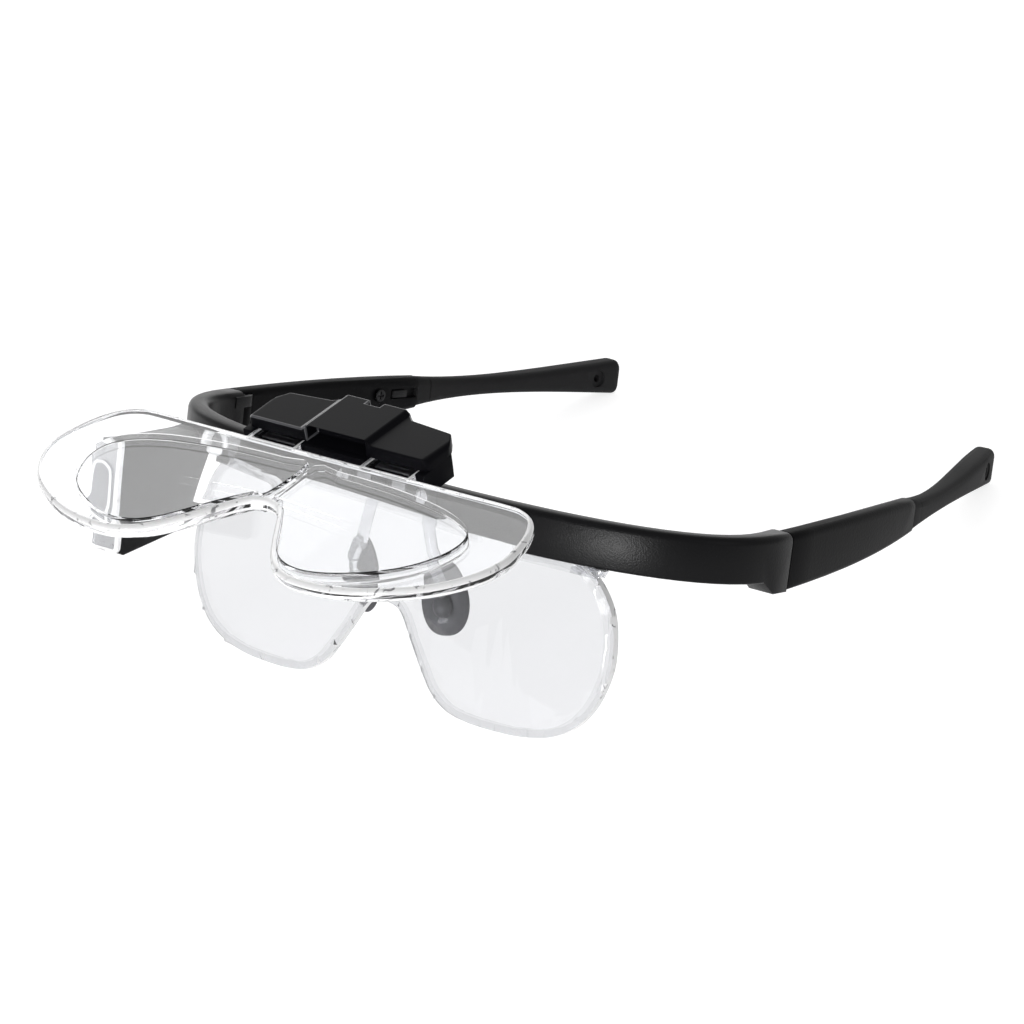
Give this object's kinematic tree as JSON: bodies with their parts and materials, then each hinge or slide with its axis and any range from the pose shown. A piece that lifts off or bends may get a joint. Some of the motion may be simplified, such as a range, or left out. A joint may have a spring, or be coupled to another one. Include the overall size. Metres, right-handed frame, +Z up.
{
  "type": "head-worn lighted magnifier with flip-up lens",
  "caption": "Glasses-style magnifier: black wrap frame, folding temples with rubber tips, flip-up clear two-lobe lens plate, clear shield, nose pads and a small side lamp.",
  "frame": {"origin": "middle of the footprint on the table, as it stands on the shield's lower edges and the two tips", "axes": "X to the wearer's left, Y to the back along the temples, Z up from the table"},
  "size_m": [0.157, 0.2212, 0.0679],
  "materials": {
    "frame_plastic": "smooth black moulded plastic",
    "hinge_plastic": "black moulded plastic",
    "carrier_plastic": "dark grey plastic with crisp bright edges",
    "lamp_plastic": "black plastic",
    "tip_rubber": "soft black rubber",
    "pad_rubber": "soft dark grey rubber",
    "lens_clear": "polished clear acrylic",
    "shield_clear": "polished clear sheet",
    "small_clear": "clear moulded plastic",
    "screw_steel": "plated steel",
    "spring_steel": "bright steel",
    "contact_brass": "brass",
    "reflector_chrome": "bright reflector",
    "led_yellow": "cast resin",
    "board_green": "circuit board",
    "switch_plastic": "black plastic",
    "wire_red": "insulated wire"
  },
  "bodies": {
    "frame": {"brow_bar": "frame_plastic", "hinge_bracket": "hinge_plastic", "bracket_screws": "screw_steel", "flip_pin": "screw_steel", "detent_spring": "spring_steel", "shield": "shield_clear", "shield_screws": "screw_steel", "nose_bridge": "small_clear", "bridge_screw": "screw_steel", "hinge_pin_left": "screw_steel", "hinge_pin_right": "screw_steel", "lamp_housing": "lamp_plastic", "lamp_cover": "lamp_plastic", "lamp_screws": "screw_steel", "lamp_window": "small_clear", "lamp_reflector": "reflector_chrome", "lamp_led": "led_yellow", "lamp_board": "board_green", "coin_cells": "spring_steel", "cell_contacts": "contact_brass", "button_spring": "spring_steel", "switch_body": "switch_plastic", "switch_cover": "frame_plastic", "switch_wires": "wire_red"},
    "flip_unit": {"carrier_base": "carrier_plastic", "carrier_cover": "carrier_plastic", "carrier_screws": "screw_steel", "tab_clips": "spring_steel", "lens_plate": "lens_clear"},
    "temple_left": {"temple_arm_left": "frame_plastic", "adjust_screw_left": "screw_steel"},
    "temple_right": {"temple_arm_right": "frame_plastic", "adjust_screw_right": "screw_steel"},
    "tip_left": {"tip_slider_left": "hinge_plastic", "tip_grip_left": "tip_rubber"},
    "tip_right": {"tip_slider_right": "hinge_plastic", "tip_grip_right": "tip_rubber"},
    "pad_left": {"nose_pad_left": "pad_rubber"},
    "pad_right": {"nose_pad_right": "pad_rubber"},
    "button": {"lamp_button": "small_clear"}
  },
  "joints": [
    {"name": "lens_flip", "type": "hinge", "parent": "frame", "child": "flip_unit", "pos_m": [0, -0.05109, 0.05709], "axis": [1, 0, 0], "range_deg": [-20, 68]},
    {"name": "temple_left_fold", "type": "hinge", "parent": "frame", "child": "temple_left", "pos_m": [0.0745, -0.01078, 0.03306], "axis": [0, 0.2701, 0.9628], "range_deg": [0, 86]},
    {"name": "temple_right_fold", "type": "hinge", "parent": "frame", "child": "temple_right", "pos_m": [-0.0745, -0.01078, 0.03306], "axis": [0, -0.2701, -0.9628], "range_deg": [0, 70]},
    {"name": "tip_left_slide", "type": "slide", "parent": "temple_left", "child": "tip_left", "axis": [-0.1641, 0.9498, -0.2664], "range_m": [0, 0.01]},
    {"name": "tip_right_slide", "type": "slide", "parent": "temple_right", "child": "tip_right", "axis": [0.1641, 0.9498, -0.2664], "range_m": [0, 0.01]},
    {"name": "nose_pad_left_rock", "type": "hinge", "parent": "frame", "child": "pad_left", "pos_m": [0.01228, -0.04684, 0.02102], "axis": [-0.0985, 0.1511, 0.9836], "range_deg": [-10, 10]},
    {"name": "nose_pad_right_rock", "type": "hinge", "parent": "frame", "child": "pad_right", "pos_m": [-0.01228, -0.04684, 0.02102], "axis": [0.0985, 0.1511, 0.9836], "range_deg": [-10, 10]},
    {"name": "lamp_button_press", "type": "slide", "parent": "frame", "child": "button", "axis": [0, 0.9628, -0.2701], "range_m": [0, 0.0012], "stiffness_N_per_m": 500, "springref_m": -0.0004, "deforming": ["button_spring"]}
  ]
}
